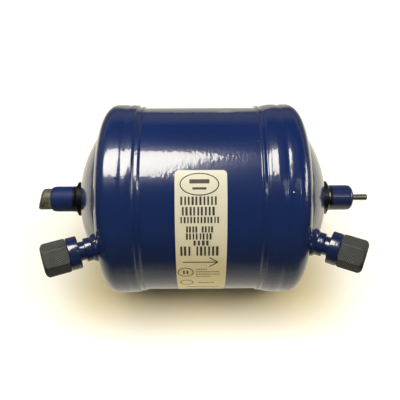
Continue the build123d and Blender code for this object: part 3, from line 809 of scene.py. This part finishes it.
def ring(x, degrees, width, height, line, corners=40):
    """A closed oval line about a point of the label, by cosine and sine."""
    t = np.linspace(0, 2 * np.pi, corners, endpoint=False)
    arc = degrees * per_degree + height / 2 * np.sin(t)
    return [(stroke(np.stack([x + width / 2 * np.cos(t), arc], axis=1), line, True), True)]


def straight(x0, a0, x1, a1, width):
    """A straight line between two places on the label, each x in mm and angle in degrees."""
    t = np.linspace(0, 1, 8)[:, None]
    path = np.array([x0, a0 * per_degree]) * (1 - t) + np.array([x1, a1 * per_degree]) * t
    return [(stroke(path, width), False)]


def screen_ink():
    """Ink printed through a screen: matt, warm near-black, thinner and paler in specks."""
    material, surface, place = finish_of("screen_ink", {"Roughness": 0.5})
    mottle = add(material, "TexNoise", {"Vector": place, "Scale": per_mm(1.2)})
    colour = add(material, "Mix", {0: mottle, 6: linear("#2A2622"), 7: linear("#45403A")}, COLOURS)
    join(material, colour, surface.inputs["Base Color"])
    return material


label_print = (
    ring(-1.6, 55.3, 15.4, 8.8, 0.45, 56)
    + straight(-5.6, 56.8, 2.4, 56.8, 1.7) + straight(-4.4, 53.0, 1.2, 53.0, 0.9)
    + row_of_blocks(-9.7, 5.7, 48.7, 44.1, 10, 1)
    + row_of_blocks(-9.0, 4.7, 43.2, 38.5, 9, 2)
    + row_of_blocks(-9.6, 6.5, 37.8, 34.3, 12, 3)
    + row_of_blocks(-7.3, 4.0, 32.5, 29.0, 9, 4, gaps=(4,))
    + row_of_blocks(-7.5, 3.4, 28.5, 24.8, 8, 5)
    + row_of_blocks(-4.5, 2.4, 24.2, 21.1, 4, 6)
    + row_of_blocks(-10.0, 6.3, 20.5, 14.3, 10, 7, gaps=(3,))
    + straight(-8.6, 9.4, 5.4, 9.4, 0.5)
    + straight(5.9, 9.4, 2.4, 12.9, 0.5) + straight(5.9, 9.4, 2.4, 5.9, 0.5)
    + ring(-7.6, 0.6, 6.4, 6.0, 0.4)
    + row_of_blocks(-9.2, -6.0, 2.2, -1.2, 2, 12)
    + row_of_blocks(-3.4, 1.6, 4.0, 3.0, 7, 8) + row_of_blocks(-3.4, 6.6, 1.6, 0.6, 14, 9)
    + row_of_blocks(-3.4, 7.0, -0.8, -1.8, 15, 10) + row_of_blocks(-3.4, 3.0, -3.2, -4.2, 9, 11)
    + ring(-7.3, -11.5, 5.4, 5.0, 0.35)
    + row_of_blocks(-2.4, 4.6, -11.2, -12.8, 8, 13)
    + row_of_blocks(-7.6, 6.8, -19.0, -20.2, 20, 14)
)
inked = printed("label_print", label_print, screen_ink())
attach(inked, "drier")

# ------------------------------------------------------------------ inside the shell
# Seen only if the shell is opened: a moulded desiccant block held between felt pads and
# drilled plates by a coil spring, with a wire-cloth screen in its bore at the outlet.


def rough_solid(name, light, dark, grain_mm, height_mm, roughness):
    """A dull, grainy solid, such as pressed felt or moulded beads: two tones and a bump."""
    material, surface, place = finish_of(name, {"Roughness": roughness})
    grain = add(material, "TexNoise", {"Vector": place, "Scale": per_mm(grain_mm), "Detail": 5.0})
    colour = add(material, "Mix", {0: grain, 6: linear(dark), 7: linear(light)}, COLOURS)
    join(material, colour, surface.inputs["Base Color"])
    bump = add(material, "Bump", {"Height": grain, "Distance": height_mm * mm})
    join(material, bump, surface.inputs["Normal"])
    return material


beads = rough_solid("moulded_sieve_and_alumina", "#C3B49C", "#9A8870", 1.4, 0.3, 0.9)
dress("desiccant_core", beads)
felt = rough_solid("pressed_felt", "#CFC9BC", "#A79F90", 0.6, 0.2, 0.95)
sheet_steel = bare_metal("pressed_sheet_steel", "#A6A6A2", 0.4, 0.8, "Y")
for node in ("inlet_pad", "outlet_pad"):
    dress(node, felt)
for node in ("inlet_plate", "outlet_plate", "outlet_screen"):
    dress(node, sheet_steel)
dress("inlet_spring", spring_steel)

# ------------------------------------------------------------------ table and studio
# A matt table top, white, with painted shade: a cream tint where the drier's shadow falls
# round its foot. One lamp lights the drier and three the table alone; bright openings in the
# ceiling and a side wall show only as reflections in the enamel. The world is white to the
# camera and dim to everything else.
floor_z = -head_radius
table_half = 2500.0


def table_top():
    """Matt laminate: white, with a cream tint round the drier's foot that is painted shade, and
    evenly white far away.
    Glossy rays see a painted reflection instead of the lit table: a glow that is brighter beside
    and behind the drier and dark from a hand's width in front, as under a dark front wall. Each
    field below is a smooth step, given as a value, the two places in metres where it starts and
    stops, and its level at each."""
    material, surface, place = finish_of("matt_laminate", {"Roughness": 0.8,
                                                           "Specular IOR Level": 0.0})
    split = add(material, "SeparateXYZ", {0: place})
    forth = split.outputs["Y"]
    aside = add(material, "Math", {0: split.outputs["X"]}, {"operation": "ABSOLUTE"})
    skew = add(material, "MapRange", {0: aside, 1: 0.125, 2: 0.285, 3: 0.02, 4: -0.10})
    reach = add(material, "Math", {0: forth, 1: skew})
    away = add(material, "VectorMath", {0: place}, {"operation": "LENGTH"})
    fields = {}
    for name, value, start, stop, first, last in (
            ("shade_tint_front", forth, -0.056, -0.022, 0.0, 1.0),
            ("shade_tint_back", forth, 0.0, 0.05, 1.0, 0.0),
            ("shade_tint_ends", aside, 0.045, 0.085, 1.0, 0.0),
            ("lit_front", reach, -0.008, 0.008, 0.0, 1.0),
            ("lit_sides", aside, 0.24, 0.265, 1.0, 0.08),
            ("apron", forth, -0.125, -0.04, 0.0, 0.62),
            ("ends", aside, 0.095, 0.11, 0.0, 1.0),
            ("behind", forth, 0.16, 0.24, 0.0, 1.0),
            ("back_level", aside, 0.07, 0.17, 0.65, 0.14),
            ("far", away, 0.2, 0.6, 0.0, 1.0)):
        step = {0: value, 1: start, 2: stop, 3: first, 4: last}
        fields[name] = add(material, "MapRange", step, SMOOTH)
    # Painted shade: a cream tint laid where the drier's shadow falls on the table.
    shade_tint_depth = add(material, "Math", {0: fields["shade_tint_front"], 1: fields["shade_tint_back"]}, TIMES)
    shade_tint = add(material, "Math", {0: shade_tint_depth, 1: fields["shade_tint_ends"]}, TIMES)
    colour = add(material, "Mix", {0: shade_tint, 6: linear("#FFFDF5"), 7: linear("#F3E2B2")}, COLOURS)
    rays = add(material, "LightPath")
    bounce = add(material, "Mix", {0: rays.outputs["Is Diffuse Ray"], 6: colour,
                                   7: linear("#E0D2A4")}, COLOURS)
    join(material, bounce, surface.inputs["Base Color"])
    beside = add(material, "Math", {0: fields["lit_front"], 1: fields["lit_sides"]}, TIMES)
    near = add(material, "Mix", {0: fields["ends"], 2: fields["apron"], 3: beside})
    under = add(material, "MapRange", {0: forth, 1: 0.0, 2: 0.06, 3: 0.0, 4: 1.0})
    around_it = add(material, "Mix", {0: under, 2: near, 3: beside})
    shown = add(material, "Mix", {0: fields["behind"], 2: around_it, 3: fields["back_level"]})
    # Painted reflection: glossy rays see this glow, set by place, instead of the lit table.
    painted_reflection = add(material, "Emission", {"Color": linear("#F7F0DC"), "Strength": shown})
    fade = add(material, "Math", {0: fields["far"], 1: rays.outputs["Is Camera Ray"]}, TIMES)
    white = add(material, "Emission", {"Color": linear("#FFFFFF"), "Strength": 1.0})
    open_table = add(material, "MixShader", {0: fade, 1: surface, 2: white})
    choice = add(material, "MixShader", {0: rays.outputs["Is Glossy Ray"],
                                         1: open_table, 2: painted_reflection})
    join(material, choice, material.node_tree.nodes["Material Output"].inputs["Surface"])
    return material


def plate(name, corners, material):
    """A flat face through corners given in mm."""
    mesh = bpy.data.meshes.new(name)
    mesh.from_pydata(np.array(corners, float) * mm, [], [list(range(len(corners)))])
    mesh.materials.append(material)
    piece = placed(name, mesh)
    return piece


table = plate("table_top", [(x * table_half, y * table_half, floor_z) for x, y in (
    (-1, -1), (1, -1), (1, 1), (-1, 1))], table_top())


def opening(name, corners, strength):
    """A bright opening that shows in the enamel's gloss but adds no light of its own."""
    material = bpy.data.materials.new(name)
    material.use_nodes = True
    glow = add(material, "Emission", {"Color": linear("#FFF9EA"), "Strength": strength})
    join(material, glow, material.node_tree.nodes["Material Output"].inputs["Surface"])
    panel = plate(name, corners, material)
    panel.visible_diffuse = False
    panel.visible_camera = False
    panel.visible_shadow = False


ceiling = 600                # height of the openings over the drier's axis
opening("ceiling_opening", [(x, y, ceiling) for x, y in (
    (-300, 150), (-52, 155), (-14, 140), (20, 110), (36, 70), (30, 48), (10, 25), (-8, -39),
    (-28, -95), (-50, -150), (-62, -188), (-300, -188), (-560, -120), (-700, -40), (-700, 80),
    (-540, 190))], 13.0)
opening("ceiling_opening_front", [(x, y, ceiling) for x, y in (
    (150, -235), (380, -235), (420, -390), (170, -390))], 1.2)
opening("ceiling_lamp_right", [(x, y, ceiling) for x, y in (
    (310, -395), (410, -395), (410, -480), (310, -480))], 5.0)
opening("side_window_right", [(1000, -180, 190), (1000, 250, 190), (1000, 250, 420),
                              (1000, -180, 420)], 8.0)


def lamp(name, place, aim, size, power, table_part):
    """A rectangular soft light at a place in mm that faces a point in mm. table_part says if
    the table is all that it lights (INCLUDE) or all that it leaves out (EXCLUDE)."""
    light = bpy.data.lights.new(name, "AREA")
    light.shape = "RECTANGLE"
    light.size, light.size_y = size[0] * mm, size[1] * mm
    light.energy = power
    light.color = linear("#FFFCF4")[:3]
    lamp_object = placed(name, light)
    lamp_object.location = Vector(place) * mm
    lamp_object.rotation_euler = (Vector(aim) - Vector(place)).to_track_quat("-Z", "Y").to_euler()
    lamp_object.visible_glossy = False
    group = bpy.data.collections.new(name)
    group.objects.link(table)
    group.collection_objects[0].light_linking.link_state = table_part
    lamp_object.light_linking.receiver_collection = group


lamp_height = 1500
lamp("key", (-30, 30, lamp_height), (0, 0, 0), (320, 320), 23.0, "EXCLUDE")
for name, x, y, size, power in (("table_wash", -230, -115, (1500, 1850), 27.0),
                                ("table_wash_left", -1700, -300, (2000, 1200), 22.0),
                                ("table_wash_right", 1860, -185, (2400, 1160), 40.0)):
    lamp(name, (x, y, lamp_height), (x, y, 0), size, power, "INCLUDE")

world = bpy.data.worlds.new("studio")
bpy.context.scene.world = world
world.use_nodes = True
sky = world.node_tree.nodes["Background"]
heading = add(world, "SeparateXYZ", {0: add(world, "TexCoord").outputs["Generated"]})
steps = []
for axis, start, stop, first, last in (("Z", 0.02, 0.10, 0.0, 1.0), ("Z", 0.38, 0.52, 1.0, 0.0),
                                       ("Y", -0.1, 0.4, 0.0, 1.0)):
    step = {0: heading.outputs[axis], 1: start, 2: stop, 3: first, 4: last}
    steps.append(add(world, "MapRange", step))
band = add(world, "Math", {0: steps[0], 1: steps[1]}, TIMES)
wall = add(world, "Math", {0: band, 1: steps[2]}, TIMES)
seen = add(world, "MapRange", {0: wall, 1: 0.0, 2: 1.0, 3: 0.02, 4: 0.17})
rays = add(world, "LightPath")
lit = add(world, "Mix", {0: rays.outputs["Is Glossy Ray"], 2: 0.12, 3: seen})
level = add(world, "Mix", {0: rays.outputs["Is Camera Ray"], 2: lit, 3: 1.0})
sky.inputs["Color"].default_value = linear("#FFFCF2")
join(world, level, sky.inputs["Strength"])

# ------------------------------------------------------------------ camera
# Held by hand close over the drier, looking down at it from the front. Its own x, y and back
# directions come from its elevation, then a slight yaw, then a slight roll.
elevation, yaw, roll = np.radians([48.0, 0.25, 0.34])
distance, shift_x, shift_y = 250.0, 1.21, 0.89       # mm; the shifts centre the view
right = np.array([1.0, 0.0, 0.0])
up = np.array([0.0, math.sin(elevation), math.cos(elevation)])
back = np.array([0.0, -math.cos(elevation), math.sin(elevation)])
flat_x = math.cos(yaw) * right + math.sin(yaw) * back
cam_x = math.cos(roll) * flat_x - math.sin(roll) * up
cam_y = math.sin(roll) * flat_x + math.cos(roll) * up
cam_z = -math.sin(yaw) * right + math.cos(yaw) * back
stand = -shift_x * cam_x - shift_y * cam_y + distance * cam_z
view = bpy.data.cameras.new("view")
view.sensor_width = 36.0
view.lens = 46.9
view.clip_start = 0.01
view.clip_end = 20.0
camera = placed("view", view)
camera.matrix_world = Matrix(
    [[*row] for row in np.stack([cam_x, cam_y, cam_z, stand * mm], axis=1)] + [[0, 0, 0, 1]])
bpy.context.scene.camera = camera
bpy.context.scene.view_settings.view_transform = "Standard"
